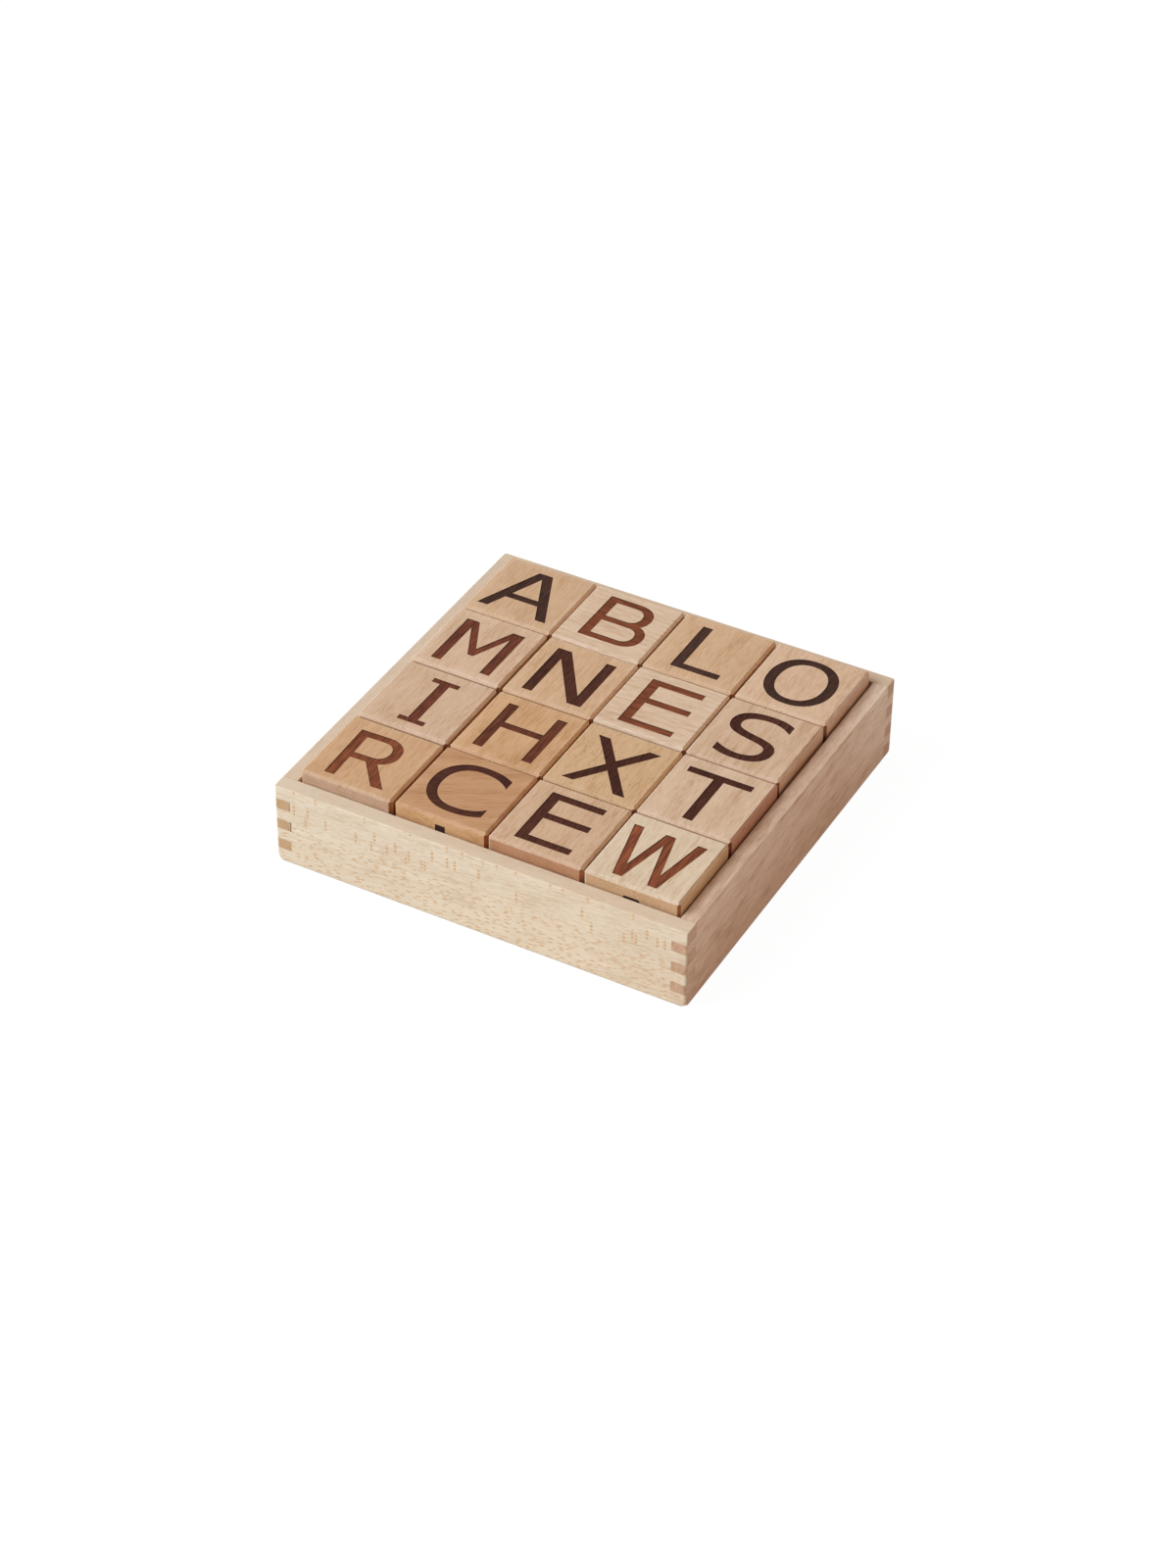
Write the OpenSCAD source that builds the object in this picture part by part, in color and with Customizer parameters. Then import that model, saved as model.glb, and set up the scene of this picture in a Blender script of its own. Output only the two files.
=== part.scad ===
// Sixteen letter blocks in a square beech tray with finger joints at its corners.
// Origin: middle of the underside. +Z up, the front wall faces -Y. All lengths in millimetres.

/* [Blocks] */
// Edge length of one block
block_size = 40; // [36:0.5:60]
// Width of the bevel along every block edge
block_bevel = 1.1; // [0.4:0.1:2.5]
// Play between neighbouring blocks, and between blocks and walls
block_gap = 0.8; // [0.3:0.1:2]

/* [Letters] */
// Height of a capital
cap_h = 29.3; // [20:0.1:31]
// Thickness of an upright stroke
stem_w = 4.3; // [2.5:0.1:5.5]
// Thickness of a level stroke
bar_w = 3.3; // [1.8:0.1:4.5]
// Thickness of the slab ends on the capital I
slab_w = 2.6; // [1.5:0.1:4]
// Depth of the burnt letters
burn_depth = 0.3; // [0.1:0.05:0.8]

/* [Tray] */
// Height of the walls
tray_h = 37; // [28:0.5:60]
// Thickness of the walls
wall_t = 6.5; // [5:0.5:12]
// Thickness of the base panel
base_t = 2.5; // [2:0.5:6]
// How far the base panel reaches under the walls
base_seat = 3; // [1:0.5:4.5]
// Corner radius of the base panel and of its rebate
base_corner_r = 5; // [2:0.5:10]
// Play round the base panel
base_play = 0.1; // [0.05:0.05:0.5]

/* [Corner joints] */
// Height of a finger on the left and right walls
side_finger_h = 4.4; // [3:0.1:7]
// Height of a finger on the front and back walls, between two of the others
front_finger_h = 5.3; // [3:0.1:7]
// Height of the topmost finger on the front and back walls
top_finger_h = 6.1; // [4:0.1:9]
// Least height of the lowest finger on the front and back walls
low_finger_min = 4; // [3:0.1:6]
// Glue line between two walls
glue_gap = 0.1; // [0.05:0.05:0.3]

/* [Edges] */
// Round on the upright outer corners
corner_r = 1.2; // [0.5:0.1:2.5]
// Round on the outer top edges
rim_r = 0.6; // [0.3:0.1:2]
// Round on the outer bottom edges
foot_r = 2.0; // [0.5:0.1:3]
// Rounding of the lower corners, measured across each corner
foot_corner_r = 3.6; // [1:0.1:6]

/* [Hidden] */
$fn = 48;

// Overrun of every cut
over = 1;
// Blocks along one side of the tray
per_side = 4;
// Steps along half of an oval
arc_steps = 24;
// Steps along one of the curves of the capital S
curve_steps = 8;

// Tray and grid, worked out from the sizes above
pitch = block_size + block_gap;
inside_w = per_side * pitch + block_gap;
outer_w = inside_w + 2 * wall_t;
finger_pitch = side_finger_h + front_finger_h;
finger_room = tray_h - top_finger_h - low_finger_min + front_finger_h;
finger_count = max(1, floor(finger_room / finger_pitch));
base_w = inside_w + 2 * base_seat - 2 * base_play;

// Width of each capital, as a share of its height
a_width_share = 1.065;
b_width_share = 0.88;
c_width_share = 0.94;
e_width_share = 0.77;
h_width_share = 0.88;
i_width_share = 0.40;
l_width_share = 0.71;
m_width_share = 0.90;
n_width_share = 0.87;
o_width_share = 0.94;
r_width_share = 0.87;
s_width_share = 0.79;
t_width_share = 0.93;
w_width_share = 1.05;
x_width_share = 0.93;

// How square the round capitals are: 2 is an ellipse
round_power_share = 2.2;

// Tables for the sixteen blocks: rows from the back, columns from the left

// How far each block has slipped to the right and to the back, as shares of the play
seat_shift_shares = [
    [[0.2, -0.3], [-0.5, -0.3], [-0.6, 0], [-0.5, 0]],
    [[-0.2, 0], [0.2, 0.1], [-0.4, 0.2], [-0.75, 0]],
    [[0.35, -0.25], [0.7, 0], [0.5, -0.1], [-0.1, 0]],
    [[0.35, -0.4], [0.5, 0.4], [0.15, 0.1], [-0.05, 0]]
];
// How far each letter is off the middle of its face, as shares of the block
letter_shift_shares = [
    [[-0.02, 0], [0.035, 0.016], [0.012, -0.005], [-0.01, -0.005]],
    [[-0.003, -0.02], [-0.003, -0.02], [0.006, -0.015], [-0.035, 0.003]],
    [[0.021, -0.013], [0.008, -0.013], [0, -0.03], [-0.015, -0.029]],
    [[0.014, -0.032], [-0.022, -0.003], [0.005, -0.007], [-0.021, -0.04]]
];
// Height of each letter, as a share of the capital height
letter_size_shares = [
    [1, 0.98, 1, 1.04],
    [1, 1.025, 1.025, 1.03],
    [1, 1, 1, 1],
    [0.995, 1.015, 1.025, 1]
];
// Turn of each letter in degrees, to the left
letter_turns = [
    [0, -0.6, 0, 0],
    [0, 0, 0, 0],
    [0, 0, -0.8, 0],
    [1.8, 0, 0, 0]
];

// Tray

// Upright rectangle with its lower two and upper two corners rounded, standing on the x axis
module board_outline(w, h, low_r, top_r) {
    union() {
        translate([-w / 2, low_r]) square([w, h - low_r - top_r]);
        translate([low_r - w / 2, 0]) square([w - 2 * low_r, h]);
        translate([top_r - w / 2, h / 2]) square([w - 2 * top_r, h / 2]);
        for (side = [-1, 1]) {
            translate([side * (w / 2 - low_r), low_r]) circle(low_r);
            translate([side * (w / 2 - top_r), h - top_r]) circle(top_r);
        }
    }
}

// Board with the tray's section across two opposite corners, its lower ends rounded
module corner_board(turn) {
    across = sqrt(2) * outer_w - 2 * (sqrt(2) - 1) * corner_r;
    rotate([0, 0, turn]) translate([0, across / 2 + over, 0]) rotate([90, 0, 0])
        linear_extrude(across + 2 * over) board_outline(across, tray_h, foot_corner_r, rim_r);
}

// Everything inside the tray's rounded outer faces
module tray_outline() {
    intersection() {
        corner_board(45);
        corner_board(-45);
        translate([0, -outer_w / 2, -over]) linear_extrude(tray_h + 2 * over)
            board_outline(outer_w, outer_w, corner_r, corner_r);
        translate([0, outer_w / 2 + over, 0]) rotate([90, 0, 0])
            linear_extrude(outer_w + 2 * over) board_outline(outer_w, tray_h, foot_r, rim_r);
        translate([-outer_w / 2 - over, 0, 0]) rotate([90, 0, 90])
            linear_extrude(outer_w + 2 * over) board_outline(outer_w, tray_h, foot_r, rim_r);
    }
}

// Base panel outline, grown by the given play
module base_outline(play) {
    w = base_w + 2 * play;
    translate([0, -w / 2]) board_outline(w, w, base_corner_r, base_corner_r);
}

// Rebate round the inside of the walls, open underneath
module base_rebate() {
    translate([0, 0, -over]) linear_extrude(base_t + over) base_outline(base_play);
}

// Underside of the side walls' finger number i, counted from the top
function finger_z(i) = tray_h - top_finger_h - side_finger_h - i * finger_pitch;

// Sockets that the side walls' fingers fill, at both ends of a front or back wall
module finger_sockets() {
    reach = wall_t + glue_gap;
    for (side = [-1, 1], i = [0 : finger_count - 1])
        translate([side * (outer_w / 2 - reach / 2 + over / 2), 0, finger_z(i) + side_finger_h / 2])
            cube([reach + over, wall_t + 2 * over, side_finger_h + 2 * glue_gap], center = true);
}

// Wall across the tray, with its outer face towards -Y when side is -1
module cross_wall(side) {
    intersection() {
        difference() {
            translate([0, side * (outer_w - wall_t) / 2, 0]) difference() {
                translate([-outer_w / 2, -wall_t / 2, 0]) cube([outer_w, wall_t, tray_h]);
                finger_sockets();
            }
            base_rebate();
        }
        tray_outline();
    }
}

// Wall between the front and back walls, with its outer face towards -X when side is -1
module side_wall(side) {
    body_l = inside_w - 2 * glue_gap;
    intersection() {
        difference() {
            translate([side * (outer_w - wall_t) / 2 - wall_t / 2, 0, 0]) union() {
                translate([0, -body_l / 2, 0]) cube([wall_t, body_l, tray_h]);
                for (i = [0 : finger_count - 1])
                    translate([0, -outer_w / 2, finger_z(i)]) cube([wall_t, outer_w, side_finger_h]);
            }
            base_rebate();
        }
        tray_outline();
    }
}

module front_wall() { color("#EBD8B8") cross_wall(-1); }
module back_wall() { color("#E6D0AE") cross_wall(1); }
module left_wall() { color("#DFC6A2") side_wall(-1); }
module right_wall() { color("#D9BE9B") side_wall(1); }
module base_panel() { color("#E2CCA8") linear_extrude(base_t) base_outline(0); }

// Letter outlines, each standing on the x axis with its left edge at x = 0

// Half of a rounded form: points from start to finish degrees about the middle
function round_term(v) = sign(v) * pow(abs(v), 2 / round_power_share);
function round_points(mid, radii, start, finish) = [
    for (i = [0 : arc_steps])
        let (a = start + (finish - start) * i / arc_steps)
        [mid[0] + radii[0] * round_term(cos(a)), mid[1] + radii[1] * round_term(sin(a))]
];

// Closed oval
module oval(mid, radii) {
    polygon(concat(round_points(mid, radii, 0, 180), round_points(mid, radii, 180, 360)));
}

// Oval stroke, upright strokes at the sides and level strokes at top and bottom
module ring(mid, radii) {
    difference() {
        oval(mid, radii);
        oval(mid, [radii[0] - stem_w, radii[1] - bar_w]);
    }
}

// Bowl from the stem to the right, from height low to height high, w wide
module bowl(w, low, high) {
    mid = [w - (high - low) * bowl_reach_share, (low + high) / 2];
    radii = [w - mid[0], (high - low) / 2];
    inner = [radii[0] - stem_w, radii[1] - bar_w];
    difference() {
        polygon(concat([[0, low]], round_points(mid, radii, -90, 90), [[0, high]]));
        polygon(concat([[stem_w, low + bar_w]],
                       round_points(mid, inner, -90, 90),
                       [[stem_w, high - bar_w]]));
    }
}
bowl_reach_share = 0.56;

// Capital A: flat apex, level bar
a_apex_share = 0.21;
a_bar_share = 0.29;
function a_inner(y, w) = stem_w * a_slant_share + y * (w - a_apex_share * cap_h) / (2 * cap_h);
a_slant_share = 1.08;
module letter_a() {
    w = a_width_share * cap_h;
    apex = a_apex_share * cap_h;
    bar_y = a_bar_share * cap_h;
    foot = a_inner(0, w);
    peak_y = cap_h * (w - 2 * foot) / (w - apex);
    low = a_inner(bar_y, w);
    high = a_inner(bar_y + bar_w, w);
    difference() {
        polygon([[0, 0], [foot, 0], [low, bar_y], [w - low, bar_y], [w - foot, 0], [w, 0],
                 [(w + apex) / 2, cap_h], [(w - apex) / 2, cap_h]]);
        polygon([[high, bar_y + bar_w], [w - high, bar_y + bar_w], [w / 2, peak_y]]);
    }
}

// Capital B: two bowls on one stem
b_upper_share = 0.78;
b_waist_share = 0.55;
module letter_b() {
    waist = b_waist_share * cap_h;
    union() {
        bowl(b_width_share * cap_h, 0, waist);
        bowl(b_upper_share * cap_h, waist - bar_w, cap_h);
    }
}

// Capital C: an oval stroke, longer to the right, cut off upright at its open side
c_left_share = 0.53;
c_right_share = 0.64;
module long_oval(mid, left_r, right_r, up_r) {
    polygon(concat(round_points(mid, [right_r, up_r], -90, 90),
                   round_points(mid, [left_r, up_r], 90, 270)));
}
module letter_c() {
    w = c_width_share * cap_h;
    left_r = c_left_share * cap_h;
    right_r = c_right_share * cap_h;
    mid = [left_r, cap_h / 2];
    difference() {
        long_oval(mid, left_r, right_r, mid[1]);
        long_oval(mid, left_r - stem_w, right_r - stem_w, mid[1] - bar_w);
        translate([w, -over]) square([left_r + right_r - w + over, cap_h + 2 * over]);
    }
}

// Capital E: three level bars of one length
e_middle_share = 0.545;
module letter_e() {
    w = e_width_share * cap_h;
    low = e_middle_share * cap_h - bar_w / 2;
    high = low + bar_w;
    polygon([[0, 0], [w, 0], [w, bar_w], [stem_w, bar_w],
             [stem_w, low], [w, low], [w, high], [stem_w, high],
             [stem_w, cap_h - bar_w], [w, cap_h - bar_w], [w, cap_h], [0, cap_h]]);
}

// Capital H
h_bar_share = 0.55;
module letter_h() {
    w = h_width_share * cap_h;
    low = h_bar_share * cap_h - bar_w / 2;
    high = low + bar_w;
    polygon([[0, 0], [stem_w, 0], [stem_w, low], [w - stem_w, low], [w - stem_w, 0], [w, 0],
             [w, cap_h], [w - stem_w, cap_h], [w - stem_w, high], [stem_w, high],
             [stem_w, cap_h], [0, cap_h]]);
}

// Capital I with slab ends
module letter_i() {
    w = i_width_share * cap_h;
    left = (w - stem_w) / 2;
    right = left + stem_w;
    top = cap_h - slab_w;
    polygon([[0, 0], [w, 0], [w, slab_w], [right, slab_w], [right, top], [w, top],
             [w, cap_h], [0, cap_h], [0, top], [left, top], [left, slab_w], [0, slab_w]]);
}

// Capital L
module letter_l() {
    w = l_width_share * cap_h;
    polygon([[0, 0], [w, 0], [w, bar_w], [stem_w, bar_w], [stem_w, cap_h], [0, cap_h]]);
}

// Capital M: upright stems, the middle ends in a short flat above the line
m_top_share = 0.19;
m_fork_share = 0.84;
m_notch_share = 0.445;
m_foot_shares = [0.042, 0.28];
module letter_m() {
    w = m_width_share * cap_h;
    top = m_top_share * cap_h;
    fork = m_fork_share * cap_h;
    notch = m_notch_share * cap_h;
    foot = m_foot_shares * cap_h;
    polygon([[0, 0], [stem_w, 0], [stem_w, fork], [w / 2 - foot[0], foot[1]], [w / 2 + foot[0], foot[1]],
             [w - stem_w, fork], [w - stem_w, 0], [w, 0], [w, cap_h], [w - top, cap_h],
             [w / 2, notch], [top, cap_h], [0, cap_h]]);
}

// Capital N
n_top_share = 0.20;
n_fork_share = 0.80;
module letter_n() {
    w = n_width_share * cap_h;
    top = n_top_share * cap_h;
    fork = n_fork_share * cap_h;
    polygon([[0, 0], [stem_w, 0], [stem_w, fork], [w - top, 0], [w, 0], [w, cap_h],
             [w - stem_w, cap_h], [w - stem_w, cap_h - fork], [top, cap_h], [0, cap_h]]);
}

// Capital O
module letter_o() {
    radii = [o_width_share * cap_h / 2, cap_h / 2];
    ring(radii, radii);
}

// Capital R: bowl, straight leg
r_upper_share = 0.74;
r_waist_share = 0.42;
r_leg_shares = [0.34, 0.69, 0.18];
module letter_r() {
    waist = r_waist_share * cap_h;
    leg = r_leg_shares * cap_h;
    union() {
        square([stem_w, cap_h]);
        bowl(r_upper_share * cap_h, waist, cap_h);
        polygon([[leg[1], 0], [leg[1] + leg[2], 0],
                 [leg[0] + leg[2], waist + bar_w / 2], [leg[0], waist + bar_w / 2]]);
    }
}

// Capital S: one stroke along a smooth curve, cut off upright at both ends
s_curve_shares = [
    [0.86, 0.80], [0.70, 0.93], [0.58, 0.945], [0.46, 0.945],
    [0.22, 0.945], [0.072, 0.86], [0.072, 0.715],
    [0.072, 0.565], [0.20, 0.535], [0.395, 0.495],
    [0.60, 0.455], [0.718, 0.43], [0.718, 0.29],
    [0.718, 0.14], [0.57, 0.055], [0.37, 0.055],
    [0.25, 0.055], [0.12, 0.08], [-0.03, 0.18]
];
s_cut_share = 0.05;
function curve_at(p, t) =
    pow(1 - t, 3) * p[0] + 3 * t * pow(1 - t, 2) * p[1] + 3 * t * t * (1 - t) * p[2] + pow(t, 3) * p[3];
function curve_slope(p, t) =
    pow(1 - t, 2) * (p[1] - p[0]) + 2 * t * (1 - t) * (p[2] - p[1]) + t * t * (p[3] - p[2]);
function curve_part(i) = [for (k = [0 : 3]) s_curve_shares[3 * i + k] * cap_h];
function stroke_edge(side) = [
    for (i = [0 : 5], j = [(i == 0 ? 0 : 1) : curve_steps])
        let (
            part = curve_part(i),
            t = j / curve_steps,
            slope = curve_slope(part, t),
            along = slope / norm(slope),
            half = (bar_w + (stem_w - bar_w) * abs(along[1])) / 2
        )
        curve_at(part, t) + side * half * [-along[1], along[0]]
];
module letter_s() {
    right = stroke_edge(-1);
    w = s_width_share * cap_h;
    difference() {
        polygon(concat(stroke_edge(1), [for (i = [1 : len(right)]) right[len(right) - i]]));
        translate([w, cap_h / 2]) square(cap_h);
        translate([s_cut_share * cap_h - cap_h, -cap_h / 2]) square(cap_h);
    }
}

// Capital T
module letter_t() {
    w = t_width_share * cap_h;
    left = (w - stem_w) / 2;
    right = left + stem_w;
    bar_y = cap_h - bar_w;
    polygon([[left, 0], [right, 0], [right, bar_y], [w, bar_y],
             [w, cap_h], [0, cap_h], [0, bar_y], [left, bar_y]]);
}

// Capital W: points come from the left half and are mirrored
w_top_share = 0.14;
w_foot_shares = [0.212, 0.346];
w_notch_shares = [0.287, 0.25];
w_peak_shares = [0.07, 0.78];
module letter_w() {
    w = w_width_share * cap_h;
    top = w_top_share * cap_h;
    foot = w_foot_shares * cap_h;
    notch = w_notch_shares * cap_h;
    peak = w_peak_shares * cap_h;
    polygon([[0, cap_h], [foot[0], 0], [foot[1], 0], [w / 2, peak[1]], [w - foot[1], 0], [w - foot[0], 0],
             [w, cap_h], [w - top, cap_h], [w - notch[0], notch[1]], [w / 2 + peak[0], cap_h],
             [w / 2 - peak[0], cap_h], notch, [top, cap_h]]);
}

// Capital X: two straight strokes
x_stroke_share = 0.172;
module letter_x() {
    w = x_width_share * cap_h;
    stroke = x_stroke_share * cap_h;
    union() {
        polygon([[0, 0], [stroke, 0], [w, cap_h], [w - stroke, cap_h]]);
        polygon([[w - stroke, 0], [w, 0], [stroke, cap_h], [0, cap_h]]);
    }
}

// Figure one: a plain upright stroke
module figure_one() { square([stem_w, cap_h]); }

// Blocks

// Cube with every edge bevelled, standing on z = 0 about the z axis
module bevel_outline() {
    half = block_size / 2;
    flat = half - block_bevel;
    polygon([[flat, -half], [half, -flat], [half, flat], [flat, half],
             [-flat, half], [-half, flat], [-half, -flat], [-flat, -half]]);
}
module block_blank() {
    translate([0, 0, block_size / 2]) intersection() {
        translate([0, 0, -block_size / 2]) linear_extrude(block_size) bevel_outline();
        rotate([90, 0, 0]) translate([0, 0, -block_size / 2]) linear_extrude(block_size) bevel_outline();
        rotate([0, 90, 0]) translate([0, 0, -block_size / 2]) linear_extrude(block_size) bevel_outline();
    }
}

// A letter burnt into the upper face of the block in this column and row
module burnt_top(column, row, width_share) {
    shift = letter_shift_shares[row][column] * block_size;
    translate([shift[0], shift[1], block_size - burn_depth])
        rotate(letter_turns[row][column])
            linear_extrude(burn_depth + over)
                scale(letter_size_shares[row][column])
                    translate([-width_share * cap_h / 2, -cap_h / 2]) children();
}

// A mark burnt into the front face, w wide, its middle a share of the block above the face's middle
module burnt_front(w, rise_share) {
    translate([0, burn_depth - block_size / 2, (1 / 2 + rise_share) * block_size])
        rotate([90, 0, 0])
            linear_extrude(burn_depth + over)
                translate([-w / 2, -cap_h / 2]) children();
}

// Block in its place: the first child is its upper letter, any second child is cut from it as it is
module letter_block(column, row, width_share) {
    slip = seat_shift_shares[row][column] * block_gap;
    across = (column - (per_side - 1) / 2) * pitch + slip[0];
    back = ((per_side - 1) / 2 - row) * pitch + slip[1];
    translate([across, back, base_t]) difference() {
        block_blank();
        burnt_top(column, row, width_share) children(0);
        if ($children > 1) children(1);
    }
}

// How high the marks on the front row's front faces stand, as shares of the block
c_mark_rise_share = 0.045;
w_mark_rise_share = 0.008;

// Back row
module block_a() { color("#D2AE80") letter_block(0, 0, a_width_share) letter_a(); }
module block_b() { color("#DDC09B") letter_block(1, 0, b_width_share) letter_b(); }
module block_l() { color("#CFAC82") letter_block(2, 0, l_width_share) letter_l(); }
module block_o() { color("#D5B48C") letter_block(3, 0, o_width_share) letter_o(); }

// Second row
module block_m() { color("#D6B690") letter_block(0, 1, m_width_share) letter_m(); }
module block_n() { color("#D0B083") letter_block(1, 1, n_width_share) letter_n(); }
module block_e_inner() { color("#DFC39F") letter_block(2, 1, e_width_share) letter_e(); }
module block_s() { color("#D8B893") letter_block(3, 1, s_width_share) letter_s(); }

// Third row
module block_i() { color("#D8B996") letter_block(0, 2, i_width_share) letter_i(); }
module block_h() { color("#CFAA7C") letter_block(1, 2, h_width_share) letter_h(); }
module block_x() { color("#CDA97A") letter_block(2, 2, x_width_share) letter_x(); }
module block_t() { color("#D9BA97") letter_block(3, 2, t_width_share) letter_t(); }

// Front row
module block_r() { color("#D1AF84") letter_block(0, 3, r_width_share) letter_r(); }
module block_c() {
    color("#C99F72") letter_block(1, 3, c_width_share) {
        letter_c();
        burnt_front(stem_w, c_mark_rise_share) figure_one();
    }
}
module block_e_front() { color("#D3B28A") letter_block(2, 3, e_width_share) letter_e(); }
module block_w() {
    color("#E2CCA6") letter_block(3, 3, w_width_share) {
        letter_w();
        burnt_front(a_width_share * cap_h, w_mark_rise_share) letter_a();
    }
}

front_wall();
back_wall();
left_wall();
right_wall();
base_panel();
block_a();
block_b();
block_l();
block_o();
block_m();
block_n();
block_e_inner();
block_s();
block_i();
block_h();
block_x();
block_t();
block_r();
block_c();
block_e_front();
block_w();
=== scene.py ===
import math

import bmesh
import bpy
from mathutils import Euler, Matrix, Vector


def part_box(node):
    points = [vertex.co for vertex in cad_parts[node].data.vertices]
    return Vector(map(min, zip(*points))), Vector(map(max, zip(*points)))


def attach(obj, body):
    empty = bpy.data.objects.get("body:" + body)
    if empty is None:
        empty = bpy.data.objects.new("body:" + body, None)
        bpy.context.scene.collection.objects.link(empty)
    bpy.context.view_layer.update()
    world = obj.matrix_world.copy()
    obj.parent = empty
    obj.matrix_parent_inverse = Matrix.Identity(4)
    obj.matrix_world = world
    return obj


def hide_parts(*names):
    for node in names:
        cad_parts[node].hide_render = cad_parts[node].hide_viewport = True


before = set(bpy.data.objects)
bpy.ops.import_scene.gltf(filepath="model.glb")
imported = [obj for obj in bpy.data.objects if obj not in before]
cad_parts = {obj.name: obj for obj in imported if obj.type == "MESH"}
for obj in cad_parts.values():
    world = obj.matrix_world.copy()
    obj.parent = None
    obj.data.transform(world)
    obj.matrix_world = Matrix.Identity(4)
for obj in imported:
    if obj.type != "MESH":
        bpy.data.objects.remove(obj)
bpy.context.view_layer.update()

mm = 0.001
scene = bpy.context.scene
scene.view_settings.view_transform = "Standard"
print("frame loaded,", len(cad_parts), "solids")


# Node maths

class Wire:  # a node socket that can take part in sums
    def __init__(self, tree, socket=None):
        self.tree = tree
        self.socket = socket

    # adds any node: its type, its settings, then the values or links of its sockets
    def node(self, kind, settings=None, sockets=None, out=0):
        made = self.tree.nodes.new(kind)
        for key, value in (settings or {}).items():
            if key == "stops":
                stops = made.color_ramp.elements
                while len(stops) < len(value):
                    stops.new(1.0)
                for stop, (position, colour) in zip(stops, value):
                    stop.position = position
                    stop.color = colour
            else:
                setattr(made, key, value)
        for key, value in (sockets or {}).items():
            if isinstance(value, Wire):
                self.tree.links.new(value.socket, made.inputs[key])
            else:
                made.inputs[key].default_value = value
        return Wire(self.tree, made.outputs[out]) if len(made.outputs) else made

    def sum(self, operation, a, b):
        kinds = [side.socket.type for side in (a, b) if isinstance(side, Wire)]
        if "RGBA" in kinds:
            blend = {"data_type": "RGBA", "blend_type": operation}
            return self.node("ShaderNodeMix", blend, {0: 1.0, 6: a, 7: b}, 2)
        if "VECTOR" in kinds:
            return self.node("ShaderNodeVectorMath", {"operation": operation}, {0: a, 1: b})
        return self.node("ShaderNodeMath", {"operation": operation}, {0: a, 1: b})

    def __add__(self, other):
        return self.sum("ADD", self, other)

    def __sub__(self, other):
        return self.sum("SUBTRACT", self, other)

    def __rsub__(self, other):
        return self.sum("SUBTRACT", other, self)

    def __mul__(self, other):
        return self.sum("MULTIPLY", self, other)

    def __truediv__(self, other):
        return self.sum("DIVIDE", self, other)

    def __abs__(self):
        return self.sum("ABSOLUTE", self, self)

    def over(self, other):  # the larger of the two
        return self.sum("MAXIMUM", self, other)

    def under(self, other):  # the smaller of the two
        return self.sum("MINIMUM", self, other)

    def wave(self, length):  # 0 to 1 and back over each length
        turns = self * (2 * math.pi / length)
        return self.node("ShaderNodeMath", {"operation": "SINE"}, {0: turns}) * 0.5 + 0.5

    def share(self):  # what is left after the whole numbers
        return self.node("ShaderNodeMath", {"operation": "FRACT"}, {0: self})

    def length(self):
        return self.node("ShaderNodeVectorMath", {"operation": "LENGTH"}, {0: self}, "Value")

    def along(self, axis):
        settings = {"operation": "DOT_PRODUCT"}
        return self.node("ShaderNodeVectorMath", settings, {0: self, 1: axis}, "Value")

    def compared(self, operation, other):
        return self.node("FunctionNodeCompare", {"operation": operation}, {0: self, 1: other})

    def ease(self, low, high):  # 0 at low, 1 at high, smooth between
        sockets = {"Value": self, "From Min": low, "From Max": high}
        return self.node("ShaderNodeMapRange", {"interpolation_type": "SMOOTHSTEP"}, sockets)

    def mix(self, first, second):  # first where this is 0, second where it is 1
        return self.node("ShaderNodeMix", {"data_type": "RGBA"}, {0: self, 6: first, 7: second}, 2)

    def channels(self):
        outputs = self.node("ShaderNodeSeparateColor", {}, {0: self}).socket.node.outputs
        return [Wire(self.tree, output) for output in outputs]

    # smooth noise drawn out along the grain, lengths in millimetres
    def noise(self, reach, detail=2.0, out=0):
        sockets = {"Vector": self / reach, "Scale": 1.0, "Detail": detail, "Roughness": 0.5}
        return self.node("ShaderNodeTexNoise", {}, sockets, out)

    def upright(self):  # X and Z, as the two coordinates of a flat pattern
        return self.node("ShaderNodeCombineXYZ", {}, {0: self.along((1, 0, 0)), 1: self.along((0, 0, 1))})

    # scattered dashes of one cell each: how far from the nearest middle, and that cell's own colour
    def dashes(self, cell):
        isFlat = len(cell) == 2
        place = self.upright() / (*cell, 1) if isFlat else self / cell
        sockets = {"Vector": place, "Scale": 1.0, "Randomness": 1.0}
        settings = {"voronoi_dimensions": "2D" if isFlat else "3D"}
        middle = self.node("ShaderNodeTexVoronoi", settings, sockets)
        chance = Wire(self.tree, middle.socket.node.outputs["Color"])
        return middle, chance.channels()


def paint(colour):  # a colour as it shows on a screen, 0 to 255
    shares = [c / 255 for c in colour]
    return tuple(s / 12.92 if s <= 0.04045 else ((s + 0.055) / 1.055) ** 2.4 for s in shares) + (1.0,)


def tinted(colour, tint):
    return tuple(min(1.0, c * t) for c, t in zip(colour, tint)) + (1.0,)


def blankMaterial(name):
    material = bpy.data.materials.new(name)
    material.use_nodes = True
    material.node_tree.nodes.clear()
    return material, Wire(material.node_tree)


# Beech

beechTones = {  # oiled beech, as it shows in plain light
    "rosy": (207, 175, 147),
    "honey": (203, 168, 135),
    "amber": (200, 159, 120),
    "toffee": (188, 143, 107),
    "cream": (216, 189, 163),
    "straw": (215, 193, 167),
    "board": (226, 206, 180),
    "boardRosy": (211, 178, 153),
    "ply": (219, 192, 156),
}

burntTones = {  # burnt into the wood, from the darkest to the lightest
    "soot": (67, 46, 39),
    "char": (77, 45, 36),
    "umber": (103, 58, 43),
    "russet": (122, 69, 47),
}

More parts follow.
